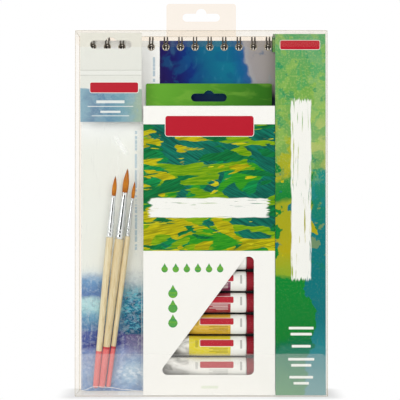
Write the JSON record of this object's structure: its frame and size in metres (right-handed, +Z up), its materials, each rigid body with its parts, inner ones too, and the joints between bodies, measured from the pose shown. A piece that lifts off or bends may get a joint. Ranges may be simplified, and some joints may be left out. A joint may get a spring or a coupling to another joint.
{
  "type": "gouache paint set box",
  "caption": "Clear hanging box with hinged end lids, holding a windowed carton of paint tubes, a brush pouch, a wire-bound pad, a card and a manual.",
  "frame": {"origin": "middle of the box's footprint, on the surface that it stands on", "axes": "+X to the right seen from the front, +Y from front to back, +Z up"},
  "size_m": [0.214, 0.0344, 0.3386],
  "materials": {
    "clear_sheet": "clear, glossy",
    "clear_film": "clear, glossy",
    "pad_cover": "printed, satin",
    "pad_paper": "matt",
    "grey_board": "matt",
    "binding_wire": "dark bronze, satin",
    "manual_cover": "printed, satin",
    "staple_wire": "bright",
    "white_card": "printed, satin",
    "black_plastic": "formed sheet, satin",
    "printed_card": "printed, satin",
    "tube_metal": "bright, soft",
    "red_plastic": "satin",
    "handle_wood": "varnished",
    "ferrule_metal": "bright",
    "brush_hair": "soft"
  },
  "bodies": {
    "root": {"clear_sleeve": "clear_sheet", "hanger_panel": "clear_sheet", "dust_flap_bottom_left": "clear_sheet", "dust_flap_bottom_right": "clear_sheet", "dust_flap_top_left": "clear_sheet", "dust_flap_top_right": "clear_sheet", "pad_cover": "pad_cover", "pad_paper": "pad_paper", "pad_backboard": "grey_board", "pad_binding": "binding_wire", "manual_cover": "manual_cover", "manual_pages": "pad_paper", "manual_staples": "staple_wire", "side_card": "printed_card", "pouch_film": "clear_film", "pouch_header": "white_card"},
    "bottom_lid": {"bottom_lid": "clear_sheet", "bottom_lid_tuck": "clear_sheet"},
    "top_lid": {"top_lid": "clear_sheet", "top_lid_tuck": "clear_sheet"},
    "paint_carton": {"carton_shell": "white_card", "carton_top_flap": "white_card", "carton_bottom_flap": "white_card", "tube_tray": "black_plastic", "tube_01": "tube_metal", "tube_02": "tube_metal", "tube_03": "tube_metal", "tube_04": "tube_metal", "tube_05": "tube_metal", "tube_06": "tube_metal", "tube_07": "tube_metal", "tube_08": "tube_metal", "tube_09": "tube_metal", "tube_10": "tube_metal", "tube_11": "tube_metal", "tube_12": "tube_metal"},
    "cap_01": {"tube_cap_01": "red_plastic"},
    "cap_02": {"tube_cap_02": "red_plastic"},
    "cap_03": {"tube_cap_03": "red_plastic"},
    "cap_04": {"tube_cap_04": "red_plastic"},
    "cap_05": {"tube_cap_05": "red_plastic"},
    "cap_06": {"tube_cap_06": "red_plastic"},
    "cap_07": {"tube_cap_07": "red_plastic"},
    "cap_08": {"tube_cap_08": "red_plastic"},
    "cap_09": {"tube_cap_09": "red_plastic"},
    "cap_10": {"tube_cap_10": "red_plastic"},
    "cap_11": {"tube_cap_11": "red_plastic"},
    "cap_12": {"tube_cap_12": "red_plastic"},
    "brush_1": {"brush_handle_1": "handle_wood", "brush_ferrule_1": "ferrule_metal", "brush_hair_1": "brush_hair"},
    "brush_2": {"brush_handle_2": "handle_wood", "brush_ferrule_2": "ferrule_metal", "brush_hair_2": "brush_hair"},
    "brush_3": {"brush_handle_3": "handle_wood", "brush_ferrule_3": "ferrule_metal", "brush_hair_3": "brush_hair"}
  },
  "joints": [
    {"name": "bottom_lid_hinge", "type": "hinge", "parent": "root", "child": "bottom_lid", "pos_m": [0, 0.0164, 0], "axis": [1, 0, 0], "range_deg": [0, 120], "deforming": ["bottom_lid_tuck"]},
    {"name": "top_lid_hinge", "type": "hinge", "parent": "root", "child": "top_lid", "pos_m": [0, 0.0164, 0.31], "axis": [-1, 0, 0], "range_deg": [0, 90], "deforming": ["top_lid_tuck"]},
    {"name": "carton_lift", "type": "slide", "parent": "root", "child": "paint_carton", "axis": [0, 0, 1], "range_m": [0, 0.041]},
    {"name": "brush_1_slide", "type": "slide", "parent": "root", "child": "brush_1", "axis": [0.0976, -0.0517, 0.9939], "range_m": [0, 0.025]},
    {"name": "brush_2_slide", "type": "slide", "parent": "root", "child": "brush_2", "axis": [0.1208, -0.0516, 0.9913], "range_m": [0, 0.025]},
    {"name": "brush_3_slide", "type": "slide", "parent": "root", "child": "brush_3", "axis": [0.1312, -0.0515, 0.99], "range_m": [0, 0.025]},
    {"name": "cap_01_turn", "type": "hinge", "parent": "paint_carton", "child": "cap_01", "pos_m": [0.03855, -0.00695, 0.0234], "axis": [1, 0, 0], "range_deg": [0, 540]},
    {"name": "cap_02_turn", "type": "hinge", "parent": "paint_carton", "child": "cap_02", "pos_m": [0.03855, -0.00695, 0.04175], "axis": [1, 0, 0], "range_deg": [0, 540]},
    {"name": "cap_03_turn", "type": "hinge", "parent": "paint_carton", "child": "cap_03", "pos_m": [0.03855, -0.00695, 0.0601], "axis": [1, 0, 0], "range_deg": [0, 540]},
    {"name": "cap_04_turn", "type": "hinge", "parent": "paint_carton", "child": "cap_04", "pos_m": [0.03855, -0.00695, 0.07845], "axis": [1, 0, 0], "range_deg": [0, 540]},
    {"name": "cap_05_turn", "type": "hinge", "parent": "paint_carton", "child": "cap_05", "pos_m": [0.03855, -0.00695, 0.0968], "axis": [1, 0, 0], "range_deg": [0, 540]},
    {"name": "cap_06_turn", "type": "hinge", "parent": "paint_carton", "child": "cap_06", "pos_m": [0.03855, -0.00695, 0.11515], "axis": [1, 0, 0], "range_deg": [0, 540]},
    {"name": "cap_07_turn", "type": "hinge", "parent": "paint_carton", "child": "cap_07", "pos_m": [0.03855, -0.00695, 0.1335], "axis": [1, 0, 0], "range_deg": [0, 540]},
    {"name": "cap_08_turn", "type": "hinge", "parent": "paint_carton", "child": "cap_08", "pos_m": [0.03855, -0.00695, 0.15185], "axis": [1, 0, 0], "range_deg": [0, 540]},
    {"name": "cap_09_turn", "type": "hinge", "parent": "paint_carton", "child": "cap_09", "pos_m": [0.03855, -0.00695, 0.1702], "axis": [1, 0, 0], "range_deg": [0, 540]},
    {"name": "cap_10_turn", "type": "hinge", "parent": "paint_carton", "child": "cap_10", "pos_m": [0.03855, -0.00695, 0.18855], "axis": [1, 0, 0], "range_deg": [0, 540]},
    {"name": "cap_11_turn", "type": "hinge", "parent": "paint_carton", "child": "cap_11", "pos_m": [0.03855, -0.00695, 0.2069], "axis": [1, 0, 0], "range_deg": [0, 540]},
    {"name": "cap_12_turn", "type": "hinge", "parent": "paint_carton", "child": "cap_12", "pos_m": [0.03855, -0.00695, 0.22525], "axis": [1, 0, 0], "range_deg": [0, 540]}
  ]
}
